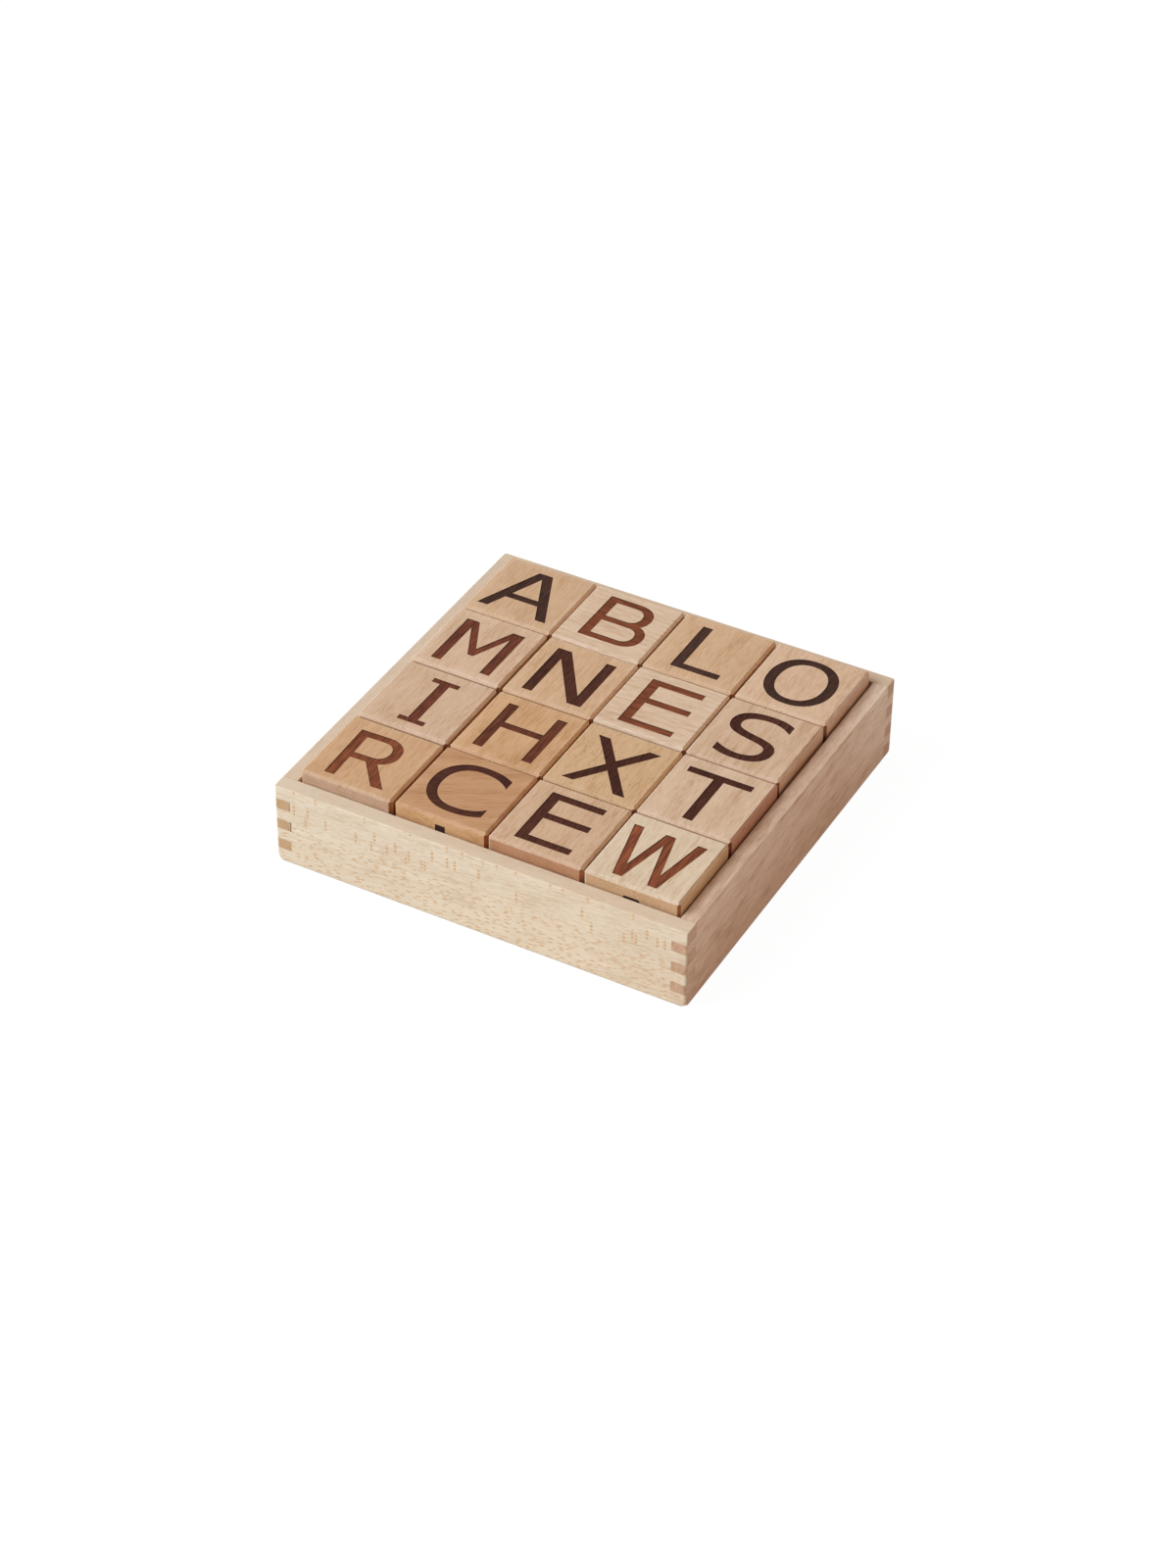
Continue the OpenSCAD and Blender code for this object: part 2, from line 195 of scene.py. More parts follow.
beechRule = {
    "darkTint": (0.74, 0.62, 0.50),  # deepest streak, as a share of the tone
    "lightTint": (1.15, 1.20, 1.27),  # palest streak
    "paleTint": (1.05, 1.09, 1.15),  # round the edges of a face: wear, with painted sheen off the rounded edges
    "sheen": 0.06,
    "roughness": 0.5,
    "roughShares": (0.12, 0.06, 0.12),  # what fibre, flecks and end grain add to that
    "reliefShares": (0.6, 0.4, 0.5),  # fibre, streaks and, sunk in, flecks
    "bump": 0.25,
    "bumpDepth": 0.06,  # millimetres
    "seedSteps": (37.0, 53.0, 71.0),  # each seed moves on by this much, in millimetres
    "strayReach": (60, 26, 26),  # length over which the fibres stray
}

facingSoft = {  # how squarely a face looks a way, from none to all of what that brings
    "end": (0.6, 0.92),
    "calm": (0.5, 0.9),
    "fleck": (0.6, 0.95),
    "top": (0.7, 0.85),
    "right": (0.4, 0.7),
    "side": (0.8, 0.95),
    "front": (0.6, 0.92),
    "corner": (0.5, 0.6),
    "cornerTop": (0.2, 0.5),
    "flat": (0.78, 0.97),
    "burntTop": (0.2, 0.6),
}

ringRule = {
    "wander": 1.2,  # years
    "wanderReach": (12, 6, 6),
    "darkens": (0.3, 0.92),  # shares of a year
    "ends": (0.92, 1.0),
    "mean": 0.3,
}

fleckRule = {  # sizes as shares of a cell
    "least": 0.17,
    "spread": 0.15,
    "soft": (0.6, 1.15),
    "chanceSoft": (1.02, 1.12),
}

columnRule = {  # stacked ray flecks on quartered wood
    "cell": (3.2, 15),
    "soft": (0.14, 0.24),
    "chanceSoft": (0.32, 0.5),
    "tick": 1.75,  # height of a tick with its gap
    "tickSoft": (0.25, 0.75),
    "tickWander": 1.5,
    "wanderReach": (5, 5, 5),
    "tickLeast": 0.15,  # what shows of a column between its ticks
    "flecksLost": 0.65,  # share of the plain flecks that give way to columns
    "seedStep": 11.0,
}

burntRule = {
    "darkTint": (0.55, 0.55, 0.6),
    "lightTint": (1.6, 1.5, 1.35),
    "streakReach": (24, 1.3, 1.3),
    "fibre": 2.0,
    "fibreReach": (5, 0.45, 0.45),
    "blotch": 0.5,
    "blotchReach": (16, 10, 10),
    "sheen": 0.05,
    "roughness": 0.75,
    "roughShare": 0.2,  # what the fibre adds to that
    "bump": 0.4,
    "bumpDepth": 0.08,  # millimetres
}

plainWood = {  # what a piece of beech looks like unless its own settings say otherwise
    "tone": "rosy",
    "level": 1.0,  # lighter above 1
    "tint": (1.0, 1.0, 1.0),
    "turn": (0, 0, 90),  # degrees, the grain runs along X before the turn
    "middle": (0, 0, 0),
    "seed": 1,
    "wander": 2.0,  # how far the fibres stray, in millimetres
    "drift": 0.55,
    "driftReach": (26, 9, 9),
    "streak": 0.5,
    "streakReach": (18, 1.2, 1.2),
    "fibre": 1.1,
    "fibreReach": (4.5, 0.5, 0.5),
    "ring": 0.10,
    "ringWidth": 2.6,
    "pith": (9, -46),  # middle of the growth rings, across the grain
    "fleck": 0.25,  # strength of the ray flecks
    "fleckTint": (0.72, 0.56, 0.42),
    "fleckCell": (3.6, 0.9, 0.9),
    "fleckCount": 0.4,  # share of the cells that hold one
    "fleckFace": None,  # the faces that show them, all if none is named
    "columns": 0.0,  # strength of the ray flecks on quartered wood
    "columnsFrom": (18, 24),  # heights over which they take over
    "fades": (),  # slow changes of brightness along a way: their way, from, to, and the tints there
    "endTint": (0.88, 0.80, 0.72),  # end grain, as a share of the tone
    "edgeWearAndLightTint": (1.0, 1.02, 1.07),  # edges: sanded paler with painted sheen, darker on the tray walls as painted shade
    "topShadeTint": None,  # faces that look up, darkened as painted shade
    "topCalm": 0.0,  # share of the figure that these have lost
    "rightShadeTint": None,  # faces that look right, and their edges, tinted as painted shade
    "sideShadeTint": None,  # these faces without their edges, painted shade
    # front faces lightened as painted light
    "frontLightTint": None,
    "cornerShadeTint": None,  # upright edges on the right, darkened as painted shade in the gaps
    "half": None,  # half the size of a cube whose faces are paler round their edges, from wear and painted sheen
    "margin": 0.5,
    "marginFrom": 1.0,
    "marginWidth": 3.5,
    "marginWander": 5.0,
    "marginReach": (9, 9, 9),
    "burnLevel": 1.0,  # the burnt letter, lighter above 1
    "burnStreak": 0.8,
}


# coordinates in millimetres: plain, with X along the grain, and moved on by the seed
def grainFrame(start, look):
    inverse = {"vector_type": "TEXTURE"}
    place = start.node("ShaderNodeTexCoord", out="Object")
    sockets = {"Vector": place, "Location": look["middle"], "Scale": (mm, mm, mm)}
    plain = start.node("ShaderNodeMapping", inverse, sockets)
    turn = [math.radians(d) for d in look["turn"]]
    local = start.node("ShaderNodeMapping", inverse, {"Vector": plain, "Rotation": turn})
    moved = local + tuple(look["seed"] * step for step in beechRule["seedSteps"])
    stray = moved.noise(beechRule["strayReach"], 1.0, "Color")
    centred = {0: stray, 1: (0.5, 0.5, 0.5)}
    stray = stray.node("ShaderNodeVectorMath", {"operation": "SUBTRACT"}, centred)
    stray = stray * (0, look["wander"], look["wander"])
    return plain, local + stray, moved + stray


def growthRings(local, moved, look):  # late wood, a darker line at the end of each year
    spread = (local * (0, 1, 1) - (0, *look["pith"])).length()
    wander = moved.noise(ringRule["wanderReach"]) * ringRule["wander"]
    years = (spread / look["ringWidth"] + wander).share()
    return years.ease(*ringRule["darkens"]) * (1 - years.ease(*ringRule["ends"]))


def rayFlecks(moved, look):
    middle, chance = moved.dashes(look["fleckCell"])
    size = chance[0] * fleckRule["spread"] + fleckRule["least"]
    shown = chance[1].ease(*(c - look["fleckCount"] for c in fleckRule["chanceSoft"]))
    return (1 - middle.ease(*(size * s for s in fleckRule["soft"]))) * shown


def rayColumns(plain, moved, look):  # stacked ticks across the grain, on quartered wood
    height = plain.along((0, 0, 1))
    shifted = plain + (look["seed"] * columnRule["seedStep"], 0, 0)
    middle, chance = shifted.dashes(columnRule["cell"])
    shown = chance[1].ease(*columnRule["chanceSoft"])
    wandering = height + moved.noise(columnRule["wanderReach"]) * columnRule["tickWander"]
    ticks = wandering.wave(columnRule["tick"]).ease(*columnRule["tickSoft"])
    ticks = ticks * (1 - columnRule["tickLeast"]) + columnRule["tickLeast"]
    return (1 - middle.ease(*columnRule["soft"])) * shown * ticks


# wear and painted sheen: a paler band round the edges of each face
def wornAndSheenMargin(plain, moved, look):  # 1 at the edges of each face of a cube, 0 further in
    x, y, z = (abs(plain.along(way)) for way in ((1, 0, 0), (0, 1, 0), (0, 0, 1)))
    second = x + y + z - x.over(y).over(z) - x.under(y).under(z)
    inset = look["half"] - second + (moved.noise(look["marginReach"]) - 0.5) * look["marginWander"]
    return 1 - inset.ease(look["marginFrom"], look["marginFrom"] + look["marginWidth"])


def beech(name, look):
    look = {**plainWood, **look}
    tone = tinted(paint(beechTones[look["tone"]]), [look["level"] * t for t in look["tint"]])
    material, start = blankMaterial(name)
    plain, local, moved = grainFrame(start, look)
    facing = start.node("ShaderNodeTexCoord", out="Normal")
    axis = Euler([math.radians(d) for d in look["turn"]]).to_matrix() @ Vector((1, 0, 0))
    endGrain = abs(facing.along(axis)).ease(*facingSoft["end"])

    drift = moved.noise(look["driftReach"])
    streak = moved.noise(look["streakReach"], 3.0)
    fibre = moved.noise(look["fibreReach"])
    ring = growthRings(local, moved, look)
    shade = (drift - 0.5) * look["drift"] + (streak - 0.5) * look["streak"]
    shade = shade + (fibre - 0.5) * look["fibre"]
    shade = shade - (ring - ringRule["mean"]) * look["ring"]
    if look["topCalm"]:
        shade = shade * (1 - facing.along((0, 0, 1)).ease(*facingSoft["calm"]) * look["topCalm"])
    shade = shade + 0.5
    dark, light = (tinted(tone, beechRule[k]) for k in ("darkTint", "lightTint"))
    stops = [(0.0, dark), (0.5, tone), (1.0, light)]
    colour = start.node("ShaderNodeValToRGB", {"stops": stops}, {"Fac": shade})

    fleck = rayFlecks(moved, look) * look["fleck"]
    if look["columns"]:
        quartered = plain.along((0, 0, 1)).ease(*look["columnsFrom"])
        fleck = fleck * (1 - quartered * columnRule["flecksLost"])
        fleck = fleck.over(rayColumns(plain, moved, look) * quartered * look["columns"])
    if look["fleckFace"]:
        fleck = fleck * abs(facing.along(look["fleckFace"])).ease(*facingSoft["fleck"])
    colour = fleck.mix(colour, tinted(tone, look["fleckTint"]))

    # end grain is darker, and face margins are paler from wear and painted sheen
    colour = endGrain.mix(colour, colour * (*look["endTint"], 1.0))
    if look["half"]:
        pale = wornAndSheenMargin(plain, moved, look) * look["margin"]
        colour = pale.mix(colour, colour * (*beechRule["paleTint"], 1.0))
    for way, low, high, lowTint, highTint in look["fades"]:
        fade = plain.along(way).ease(low, high)
        faded = colour * fade.mix((*lowTint, 1.0), (*highTint, 1.0))
        colour = endGrain.mix(faded, colour)
    sides = [abs(facing.along(way)) for way in ((1, 0, 0), (0, 1, 0), (0, 0, 1))]
    right = facing.along((1, 0, 0))
    corner = right.ease(*facingSoft["corner"]) * sides[1].ease(*facingSoft["corner"])
    # painted light and shade by facing: upward, right and front faces and the upright edges on the right
    masks = {
        "topShadeTint": facing.along((0, 0, 1)).ease(*facingSoft["top"]),
        "rightShadeTint": right.ease(*facingSoft["right"]),
        "sideShadeTint": right.ease(*facingSoft["side"]),
        "frontLightTint": facing.along((0, -1, 0)).ease(*facingSoft["front"]),
        "cornerShadeTint": corner * (1 - sides[2].ease(*facingSoft["cornerTop"])),
    }
    for key, mask in masks.items():
        if look[key]:
            colour = mask.mix(colour, colour * (*look[key], 1.0))
    # edges: painted sheen where the tint lightens, painted shade where it darkens, with sanding
    edgeWearAndLight = 1 - sides[0].over(sides[1]).over(sides[2]).ease(*facingSoft["flat"])
    colour = edgeWearAndLight.mix(colour, colour * (*look["edgeWearAndLightTint"], 1.0))

    raised, streaked, sunk = beechRule["reliefShares"]
    relief = fibre * raised + streak * streaked - fleck * sunk
    bump = start.node("ShaderNodeBump", {}, {
        "Height": relief, "Strength": beechRule["bump"], "Distance": beechRule["bumpDepth"] * mm})
    ofFibre, ofFleck, ofEnd = beechRule["roughShares"]
    roughness = (fibre - 0.5) * ofFibre + fleck * ofFleck + endGrain * ofEnd + beechRule["roughness"]
    surface = start.node("ShaderNodeBsdfPrincipled", {}, {
        "Base Color": colour, "Roughness": roughness, "Normal": bump,
        "Specular IOR Level": beechRule["sheen"]})
    start.node("ShaderNodeOutputMaterial", {}, {"Surface": surface})
    return material


# the grain still shows in the burnt letters, and marks on the sides are burnt darker
def burntWood(name, look, burn):
    look = {**plainWood, **look}
    tone = tinted(paint(burntTones[burn]), [look["burnLevel"]] * 3)
    material, start = blankMaterial(name)
    plain, local, moved = grainFrame(start, look)
    streak = moved.noise(burntRule["streakReach"], 2.0)
    fibre = moved.noise(burntRule["fibreReach"])
    blotch = moved.noise(burntRule["blotchReach"])
    ring = growthRings(local, moved, look)
    shade = (streak - 0.5) * look["burnStreak"] + (fibre - 0.5) * burntRule["fibre"]
    shade = shade + (blotch - 0.5) * burntRule["blotch"] + 0.5
    shade = shade - (ring - ringRule["mean"]) * look["ring"]
    dark, light = (tinted(tone, burntRule[k]) for k in ("darkTint", "lightTint"))
    stops = [(0.0, dark), (0.5, tone), (1.0, light)]
    colour = start.node("ShaderNodeValToRGB", {"stops": stops}, {"Fac": shade})
    upright = start.node("ShaderNodeTexCoord", out="Normal").along((0, 0, 1))
    colour = abs(upright).ease(*facingSoft["burntTop"]).mix(paint(burntTones["soot"]), colour)
    bump = start.node("ShaderNodeBump", {}, {
        "Height": fibre + streak, "Strength": burntRule["bump"], "Distance": burntRule["bumpDepth"] * mm})
    roughness = (fibre - 0.5) * burntRule["roughShare"] + burntRule["roughness"]
    surface = start.node("ShaderNodeBsdfPrincipled", {}, {
        "Base Color": colour, "Roughness": roughness, "Normal": bump,
        "Specular IOR Level": burntRule["sheen"]})
    start.node("ShaderNodeOutputMaterial", {}, {"Surface": surface})
    return material


# Finish of the solids: copied, cleaned, edges eased, shaded

def finishTree():
    tree = bpy.data.node_groups.new("woodFinish", "GeometryNodeTree")
    tree.is_modifier = True
    inputs = (("Geometry", "Geometry"), ("Wood", "Material"), ("Burnt", "Material"),
              ("Middle", "Vector"), ("Half Size", "Float"), ("Letter Reach", "Float"),
              ("Skin", "Float"), ("Sharp Angle", "Float"))
    for label, kind in inputs:
        tree.interface.new_socket(label, in_out="INPUT", socket_type="NodeSocket" + kind)
    tree.interface.new_socket("Geometry", in_out="OUTPUT", socket_type="NodeSocketGeometry")
    given = tree.nodes.new("NodeGroupInput").outputs
    start = Wire(tree)
    size = {label: Wire(tree, given[label]) for label, kind in inputs}

    # a face is burnt if it lies under the block's skin, away from the block's edges
    place = abs(start.node("GeometryNodeInputPosition") - size["Middle"])
    x, y, z = (place.along(way) for way in ((1, 0, 0), (0, 1, 0), (0, 0, 1)))
    most = x.over(y).over(z)
    second = x + y + z - most - x.under(y).under(z)
    deep = (size["Half Size"] - most).compared("GREATER_THAN", size["Skin"])
    inner = second.compared("LESS_THAN", size["Letter Reach"])
    burnt = start.node("FunctionNodeBooleanMath", {"operation": "AND"}, {0: deep, 1: inner})

    angle = start.node("GeometryNodeInputMeshEdgeAngle", out="Unsigned Angle")
    sharp = angle.compared("GREATER_THAN", size["Sharp Angle"])
    shape = start.node("GeometryNodeSetShadeSmooth", {}, {0: size["Geometry"], "Shade Smooth": True})
    shape = start.node("GeometryNodeSetShadeSmooth", {"domain": "EDGE"}, {
        0: shape, "Selection": sharp, "Shade Smooth": False})
    shape = start.node("GeometryNodeRealizeInstances", {}, {0: shape})
    shape = start.node("GeometryNodeSetMaterial", {}, {0: shape, "Material": size["Wood"]})
    letters = {0: shape, "Selection": burnt, "Material": size["Burnt"]}
    shape = start.node("GeometryNodeSetMaterial", {}, letters)
    start.node("NodeGroupOutput", {}, {0: shape})
    return tree


woodFinish = finishTree()


solidRule = {
    "weld": 0.001 * mm,
    "flat": math.radians(0.5),  # faces within this angle become one
    "easeSteps": 3,
}


def cleanCopy(node):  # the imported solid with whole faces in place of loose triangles
    solid = bmesh.new()
    solid.from_mesh(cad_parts[node].data)
    bmesh.ops.remove_doubles(solid, verts=solid.verts, dist=solidRule["weld"])
    bmesh.ops.dissolve_limit(
        solid, angle_limit=solidRule["flat"], verts=solid.verts, edges=solid.edges)
    return solid


def finished(name, solid, isEased, easeWidth, values):
    if isEased:
        weights = solid.edges.layers.float.new("bevel_weight_edge")
        for edge in solid.edges:
            edge[weights] = float(isEased(edge))
    mesh = bpy.data.meshes.new(name + "Rough")
    solid.to_mesh(mesh)
    solid.free()
    if "custom_normal" in mesh.attributes:
        mesh.attributes.remove(mesh.attributes["custom_normal"])
    rough = bpy.data.objects.new(name + "Rough", mesh)
    scene.collection.objects.link(rough)
    if isEased:
        eased = rough.modifiers.new("easedEdges", "BEVEL")
        eased.limit_method = "WEIGHT"
        eased.width = easeWidth
        eased.segments = solidRule["easeSteps"]
    finish = rough.modifiers.new("woodFinish", "NODES")
    finish.node_group = woodFinish
    for item in woodFinish.interface.items_tree:
        if item.in_out == "INPUT" and item.name in values:
            finish[item.identifier] = values[item.name]
    flats = rough.modifiers.new("flats", "WEIGHTED_NORMAL")
    flats.keep_sharp = True
    result = rough.evaluated_get(bpy.context.evaluated_depsgraph_get())
    piece = bpy.data.objects.new(name, bpy.data.meshes.new_from_object(result))
    piece.data.name = name
    bpy.data.objects.remove(rough)
    bpy.data.meshes.remove(mesh)
    scene.collection.objects.link(piece)
    return piece


def handIn(piece, body, node):
    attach(piece, body)
    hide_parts(node)


# Letter blocks

blockShape = {
    "bevel": 1.1 * mm,
    "easeWidth": 0.14 * mm,
    "skin": 0.05 * mm,
    "letterMargin": 0.5 * mm,  # letters stay this far inside the bevels
    "near": 0.01 * mm,
    "leastAngle": 0.1,  # of an edge that is eased, in radians
    "sharpAngle": math.radians(50),
}

# painted shade on the blocks' right faces and on the upright edges at their right
cubeEdges = {
    "rightShadeTint": (1.0, 0.92, 0.81),
    "sideShadeTint": (0.86, 0.72, 0.60),
    "cornerShadeTint": (0.66, 0.35, 0.23),
}
outerColumn = {"sideShadeTint": None, "cornerShadeTint": (0.45, 0.29, 0.21)}  # blocks whose right faces show, with darker painted shade at their right edges

# the tints of right faces and right edges below are painted shade
letterBlocks = {
    # the margins below are wear with painted sheen round the face edges
    "a": {"tone": "honey", "burn": "soot", "slot": "block_beech_honey", "margin": 0.8},
    "b": {"tone": "cream", "burn": "russet", "slot": "block_beech_pale", "turn": (0, 0, -4), "ring": 0.14,
          "ringWidth": 2.3, "pith": (-70, -30), "streak": 0.35, "margin": 0.2},
    "l": {"tone": "honey", "burn": "soot", "slot": "block_beech_honey", "level": 1.05, "burnLevel": 1.22},
    "o": {**outerColumn, "tone": "rosy", "burn": "soot", "slot": "block_beech", "level": 1.08,
          "rightShadeTint": (1.0, 0.965, 1.0)},
    "m": {"tone": "rosy", "burn": "umber", "slot": "block_beech", "margin": 1.0, "burnLevel": 1.06},
    "n": {"tone": "honey", "burn": "char", "slot": "block_beech_honey", "level": 1.04},
    "e_inner": {"tone": "cream", "burn": "russet", "slot": "block_beech_pale", "turn": (0, 0, 3),
                "ring": 0.14, "ringWidth": 2.3, "pith": (-60, -40), "streak": 0.35, "margin": 0.2},
    "s": {**outerColumn, "tone": "rosy", "burn": "char", "slot": "block_beech", "burnStreak": 1.8,
          "streak": 1.1, "streakReach": (30, 2.6, 2.6), "rightShadeTint": (1.0, 0.93, 0.88)},
    "i": {"tone": "rosy", "burn": "umber", "slot": "block_beech", "level": 0.97, "margin": 0.6},
    "h": {"tone": "amber", "burn": "umber", "slot": "block_beech_honey", "drift": 1.2, "margin": 0.8,
          "burnLevel": 0.93},
    "x": {"tone": "honey", "burn": "char", "slot": "block_beech_honey", "fleck": 0.8,
          "fleckCell": (3.2, 0.8, 0.8), "fleckCount": 0.7, "margin": 0.1, "burnLevel": 0.82,
          "tint": (1.01, 1.01, 0.95)},
    "t": {**outerColumn, "tone": "rosy", "burn": "char", "slot": "block_beech", "level": 1.04,
          "tint": (1, 1.03, 1.05), "burnLevel": 0.88, "rightShadeTint": (0.75, 0.53, 0.47)},
    "r": {"tone": "amber", "burn": "russet", "slot": "block_beech_honey", "tint": (0.97, 0.99, 1.03),
          "endTint": (0.89, 0.93, 1.12)},
    "c": {"tone": "toffee", "burn": "char", "slot": "block_beech_honey", "turn": (0, 0, 28), "drift": 1.3,
          # C's front face lightened as painted light
          "driftReach": (60, 7, 7), "frontLightTint": (1.16, 1.24, 1.17)},
    "e_front": {"tone": "honey", "burn": "char", "slot": "block_beech", "fleck": 0.5,
                "tint": (1, 1.01, 1.06), "endTint": (0.79, 0.61, 0.52)},
    "w": {**outerColumn, "tone": "straw", "burn": "russet", "slot": "block_beech_pale", "streak": 0.7,
          "margin": 0.1, "streakReach": (30, 1.5, 1.5), "endTint": (0.85, 0.68, 0.55),
          "burnStreak": 1.6, "burnLevel": 1.08,
          "rightShadeTint": (0.92, 0.76, 0.60), "cornerShadeTint": (0.58, 0.36, 0.26)},
}


def letterBlock(letter, seed, look):
    node = "block_" + letter
    low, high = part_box(node)
    middle = (low + high) / 2
    half = (high.z - low.z) / 2
    look = {**cubeEdges, **look, "seed": seed, "middle": tuple(middle), "half": half / mm}
    solid = cleanCopy(node)
    onBevel = half - blockShape["bevel"] - blockShape["near"]

    def isEased(edge):
        offset = (edge.verts[0].co + edge.verts[1].co) / 2 - middle
        isOuter = sum(abs(c) > onBevel for c in offset) >= 2
        return isOuter and edge.calc_face_angle(0) > blockShape["leastAngle"]

    piece = finished("block" + letter.title().replace("_", ""), solid, isEased, blockShape["easeWidth"], {
        "Wood": beech("beech_" + letter, look),
        "Burnt": burntWood("burnt_" + letter, look, look["burn"]),
        "Middle": tuple(middle),
        "Half Size": half,
        "Letter Reach": half - blockShape["bevel"] - blockShape["letterMargin"],
        "Skin": blockShape["skin"],
        "Sharp Angle": blockShape["sharpAngle"],
    })
    handIn(piece, node, node)


for seed, (letter, look) in enumerate(letterBlocks.items(), 1):
    letterBlock(letter, seed, look)
print("letter blocks made:", len(letterBlocks))


# Tray

trayShape = {
    "sharpAngle": math.radians(40),
    "noLetter": -1.0,  # a half size under which no face counts as burnt
    "socketGlue": 0.1,  # millimetres left for glue at the end of a socket
    "near": 0.02,  # millimetres within which a corner counts as in place
    # at the front left: from, to and the open gap, in millimetres
    "looseFingers": ((16.7, 21.3, 0.40), (26.4, 31.0, 0.15)),
}

innerHalf = -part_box("front_wall")[1].y / mm
boardGrain = {
    "drift": 0.5,
    "streak": 0.5,
    "streakReach": (18, 1.0, 1.0),
    "fibre": 0.8,
    "ring": 0.0,
    "fleckCell": (4.4, 0.95),
    # edges darkened as painted shade
    "edgeWearAndLightTint": (0.95, 0.94, 0.93),
    # upward faces darkened as painted shade
    "topShadeTint": (0.885, 0.86, 0.85),
    "topCalm": 0.4,
}
trayWalls = {
    "front_wall": {**boardGrain, "tone": "board", "level": 1.01, "turn": (0, -5, 0), "seed": 21,
                   "fleck": 1.0, "fleckFace": (0, 1, 0), "fleckTint": (0.85, 0.63, 0.42),
                   "fleckCount": 0.72, "columns": 1.0, "endTint": (0.77, 0.63, 0.59),
                   "fades": (((1, 0, 0), -85, 60, (0.97, 0.975, 0.99), (1.02, 1.01, 1.01)),
                             ((0, 0, 1), 10, 32, (1, 1, 1), (1.0, 1.01, 1.03)))},
    "back_wall": {**boardGrain, "tone": "board", "turn": (0, 4, 0), "seed": 22,
                  "fleck": 0.7, "fleckFace": (0, 1, 0),
                  # painted shade on the edges
                  "endTint": (0.80, 0.66, 0.62), "edgeWearAndLightTint": (0.93, 0.84, 0.74)},
    "left_wall": {**boardGrain, "tone": "board", "turn": (0, 4, 90), "seed": 23,
                  "fleck": 0.7, "fleckFace": (1, 0, 0), "endTint": (0.72, 0.565, 0.435),
                  # painted shade on the rim and on the edges
                  "topShadeTint": (0.85, 0.82, 0.84), "edgeWearAndLightTint": (0.93, 0.84, 0.74)},
    "right_wall": {**boardGrain, "tone": "boardRosy", "level": 1.04, "turn": (0, -4, 90), "seed": 24,
                   "fleck": 0.3, "fleckFace": (1, 0, 0), "endTint": (0.89, 0.81, 0.74),
                   "streak": 1.2, "streakReach": (9, 1.6, 1.6), "drift": 1.0, "driftReach": (24, 5, 5),
                   # right rim darkened as painted shadow of the blocks
                   "topShadeTint": (0.90, 0.90, 0.90), "topCalm": 0.0,
                   # painted light and shade: darker and warmer low down, lighter up high and towards the
                   # back
                   "fades": (((0, 0, 1), 2, 36, (0.96, 0.92, 0.89), (1.08, 1.12, 1.16)),
                             ((0, 1, 0), 35, 78, (1, 1, 1), (1.13, 1.25, 1.33)))},
}


def trayWall(node, look):
    solid = cleanCopy(node)
    if node == "front_wall":
        loosenFingers(solid)
    piece = finished(node.title().replace("_", ""), solid, None, 0, {
        "Wood": beech("beech_" + node, look),
        "Burnt": None,
        "Half Size": trayShape["noLetter"],
        "Sharp Angle": trayShape["sharpAngle"],
    })
    handIn(piece, "tray", node)


def loosenFingers(solid):  # two sockets at the front left were cut a little too long
    near = trayShape["near"]
    for low, high, gap in trayShape["looseFingers"]:
        for v in solid.verts:
            atEnd = abs(v.co.x / mm + innerHalf - trayShape["socketGlue"]) < near
            if atEnd and low - near < v.co.z / mm < high + near:
                v.co.x += gap * mm


for node, look in trayWalls.items():
    trayWall(node, look)

basePanel = {
    "tone": "ply",
    "turn": (0, 0, 0),
    "seed": 25,
    "drift": 1.2,
    "fleck": 0.3,
    "fleckCell": (4.8, 1.0, 2.4),
}
panel = finished("basePanel", cleanCopy("base_panel"), None, 0, {
    "Wood": beech("beech_base", basePanel),
    "Burnt": None,
    "Half Size": trayShape["noLetter"],
    "Sharp Angle": trayShape["sharpAngle"],
})
handIn(panel, "tray", "base_panel")
print("tray made")


# Studio

studio = {
    "floorHalf": 3.0,
    "floorDrop": 0.2 * mm,
    "floorColour": (0.7, 0.7, 0.7, 1.0),
    "shownLight": 0.965,  # floor as the camera sees it: this much white, and the rest takes the shadow
    "shownShade": (0.06, 0.064, 0.068, 1.0),
    "fill": 0.53,
    "fillColour": (1.03, 0.92, 0.82, 1.0),
    "warmColour": (1.85, 1.41, 1.13, 1.0),  # from the side away from the key
    "warmFrom": (0.8, 0.6, 0),
    "warmSoft": (-0.2, 0.9),
    "overheadColour": (0.35, 0.35, 0.35, 1.0),  # how much of the fill is left high on the right
    "overheadSoft": (0.15, 0.7),
    "overheadSideSoft": (-0.3, 0.4),
    "keyFrom": (-0.54, -0.51, 0.67),
    "keyDistance": 1.5,
    "keySize": 1.2,
    "keyPower": 18.6,
    "keyColour": (1.0, 1.13, 1.22),
}


def seenRays(start):  # rays that show the backdrop itself, not its light
    path = start.node("ShaderNodeLightPath").socket.node.outputs
    camera, glossy, through = (Wire(start.tree, path[k]) for k in (
        "Is Camera Ray", "Is Glossy Ray", "Is Transmission Ray"))
    return camera.over(glossy).over(through)


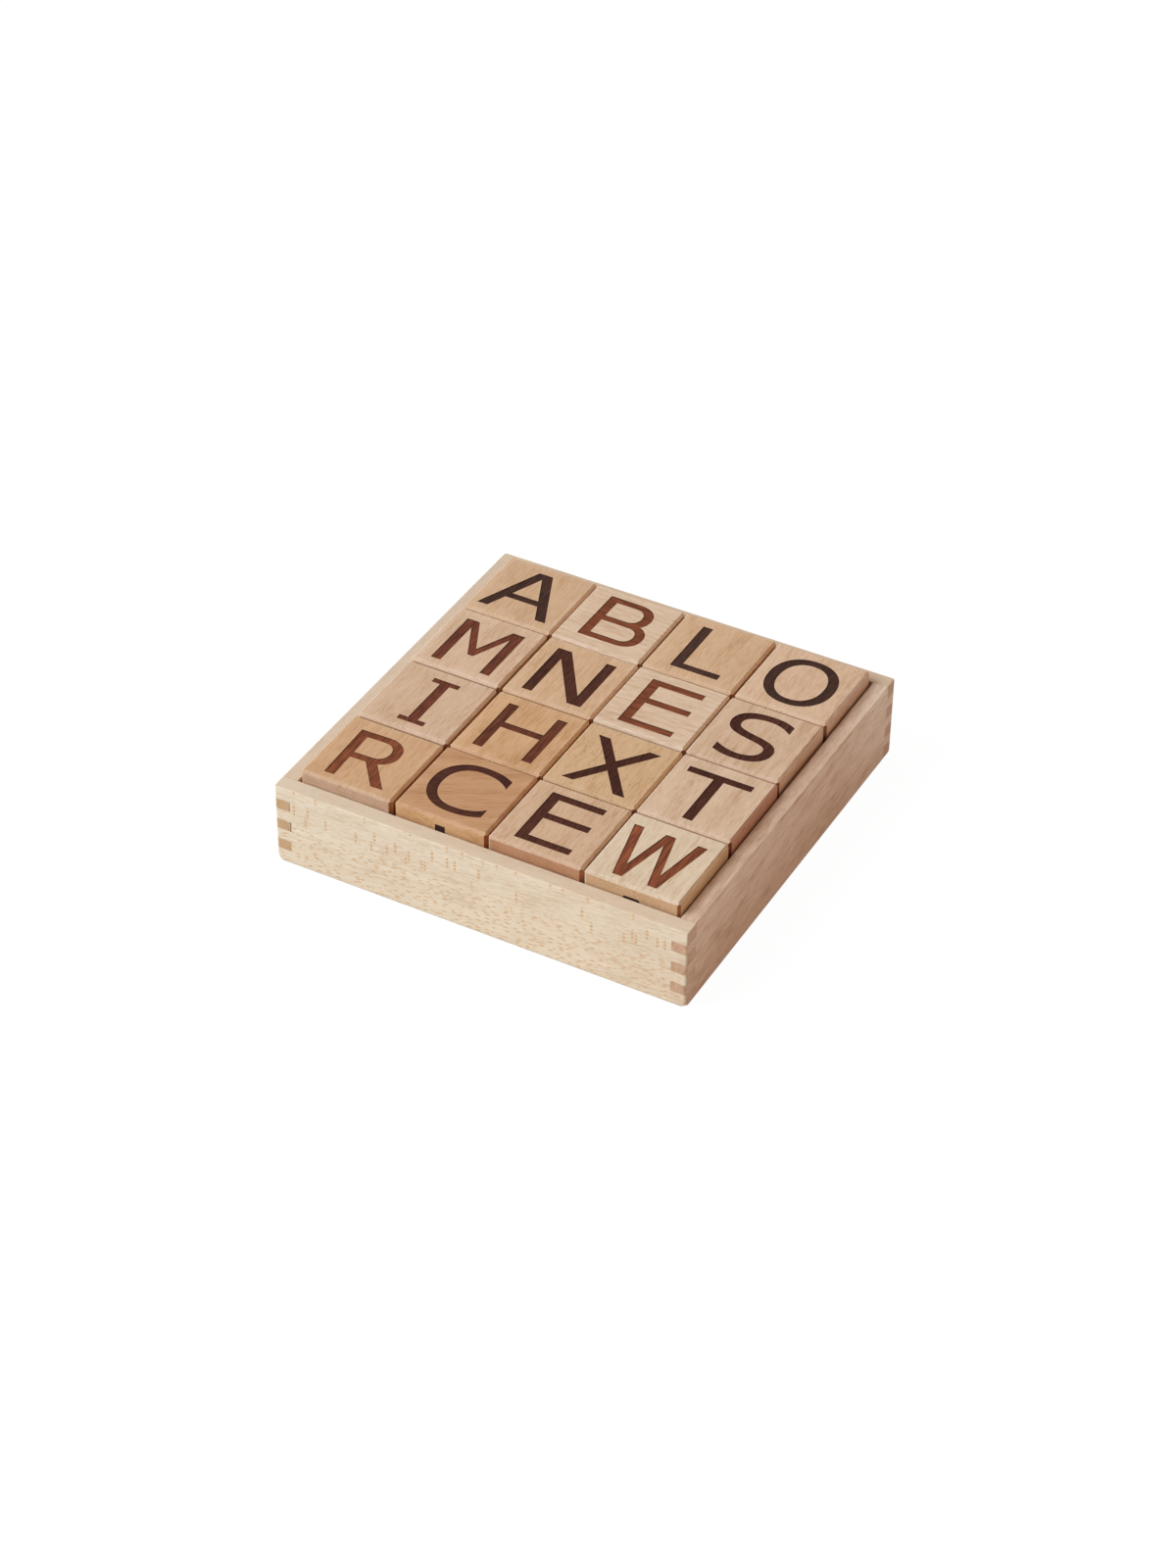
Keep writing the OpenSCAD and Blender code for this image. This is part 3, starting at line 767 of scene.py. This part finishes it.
def makeFloor():
    half = studio["floorHalf"]
    z = -studio["floorDrop"]
    mesh = bpy.data.meshes.new("floor")
    corners = [(x * half, y * half, z) for x, y in ((-1, -1), (1, -1), (1, 1), (-1, 1))]
    mesh.from_pydata(corners, [], [(0, 1, 2, 3)])
    floor = bpy.data.objects.new("floor", mesh)
    scene.collection.objects.link(floor)
    material, start = blankMaterial("paleFloor")
    lit = start.node("ShaderNodeBsdfDiffuse", {}, {"Color": studio["floorColour"]})
    white = start.node("ShaderNodeEmission", {}, {"Strength": studio["shownLight"]})
    shade = start.node("ShaderNodeBsdfDiffuse", {}, {"Color": studio["shownShade"]})
    shown = start.node("ShaderNodeAddShader", {}, {0: white, 1: shade})
    top = start.node("ShaderNodeMixShader", {}, {0: seenRays(start), 1: lit, 2: shown})
    under = start.node("ShaderNodeNewGeometry", out="Backfacing")
    clear = start.node("ShaderNodeBsdfTransparent")
    surface = start.node("ShaderNodeMixShader", {}, {0: under, 1: top, 2: clear})
    start.node("ShaderNodeOutputMaterial", {}, {"Surface": surface})
    mesh.materials.append(material)


def makeLight():
    world = bpy.data.worlds.new("studio")
    world.use_nodes = True
    world.node_tree.nodes.clear()
    scene.world = world
    start = Wire(world.node_tree)
    way = start.node("ShaderNodeTexCoord", out="Generated")
    side = way.along(studio["warmFrom"]).ease(*studio["warmSoft"])
    overhead = way.along((0, 0, 1)).ease(*studio["overheadSoft"])
    overhead = overhead * way.along((1, 0, 0)).ease(*studio["overheadSideSoft"])
    colour = side.mix(studio["fillColour"], studio["warmColour"])
    colour = colour * overhead.mix((1, 1, 1, 1), studio["overheadColour"])
    fill = start.node("ShaderNodeBackground", {}, {"Color": colour, "Strength": studio["fill"]})
    white = start.node("ShaderNodeBackground", {}, {"Color": (1, 1, 1, 1), "Strength": 1.0})
    surface = start.node("ShaderNodeMixShader", {}, {0: seenRays(start), 1: fill, 2: white})
    start.node("ShaderNodeOutputWorld", {}, {"Surface": surface})

    data = bpy.data.lights.new("key", "AREA")
    data.shape = "DISK"
    data.size = studio["keySize"]
    data.energy = studio["keyPower"]
    data.color = studio["keyColour"]
    key = bpy.data.objects.new("key", data)
    towards = Vector(studio["keyFrom"]).normalized()
    key.location = towards * studio["keyDistance"]
    key.rotation_euler = towards.to_track_quat("Z", "Y").to_euler()
    key.visible_camera = False
    scene.collection.objects.link(key)


makeFloor()
makeLight()


# Camera, as the tray's corners and edges show in the photograph

photoCamera = {
    "azimuth": 28.26,  # degrees to the right of straight ahead
    "elevation": 38.37,
    "roll": 0.68,
    "distance": 1452.2 * mm,
    "aside": 0.72 * mm,  # the origin stands this far right of the picture's middle
    "above": -8.40 * mm,
    "focalPixels": 3773,
    "pictureHeight": 1600,
    "sensor": 36.0,
}


def makeCamera():
    azimuth, elevation, roll = (math.radians(photoCamera[k]) for k in ("azimuth", "elevation", "roll"))
    level = math.cos(elevation)
    back = Vector((math.sin(azimuth) * level, -math.cos(azimuth) * level, math.sin(elevation)))
    right = Vector((math.cos(azimuth), math.sin(azimuth), 0))
    upright = Matrix((right, back.cross(right), back))
    rolled = Matrix.Rotation(-roll, 3, "Z") @ upright
    turn = rolled.transposed()
    data = bpy.data.cameras.new("photoCamera")
    data.sensor_width = photoCamera["sensor"]
    data.lens = photoCamera["sensor"] * photoCamera["focalPixels"] / photoCamera["pictureHeight"]
    camera = bpy.data.objects.new("photoCamera", data)
    at = turn @ Vector((-photoCamera["aside"], -photoCamera["above"], photoCamera["distance"]))
    camera.matrix_world = Matrix.Translation(at) @ turn.to_4x4()
    scene.collection.objects.link(camera)
    scene.camera = camera


makeCamera()
print("studio and camera set")
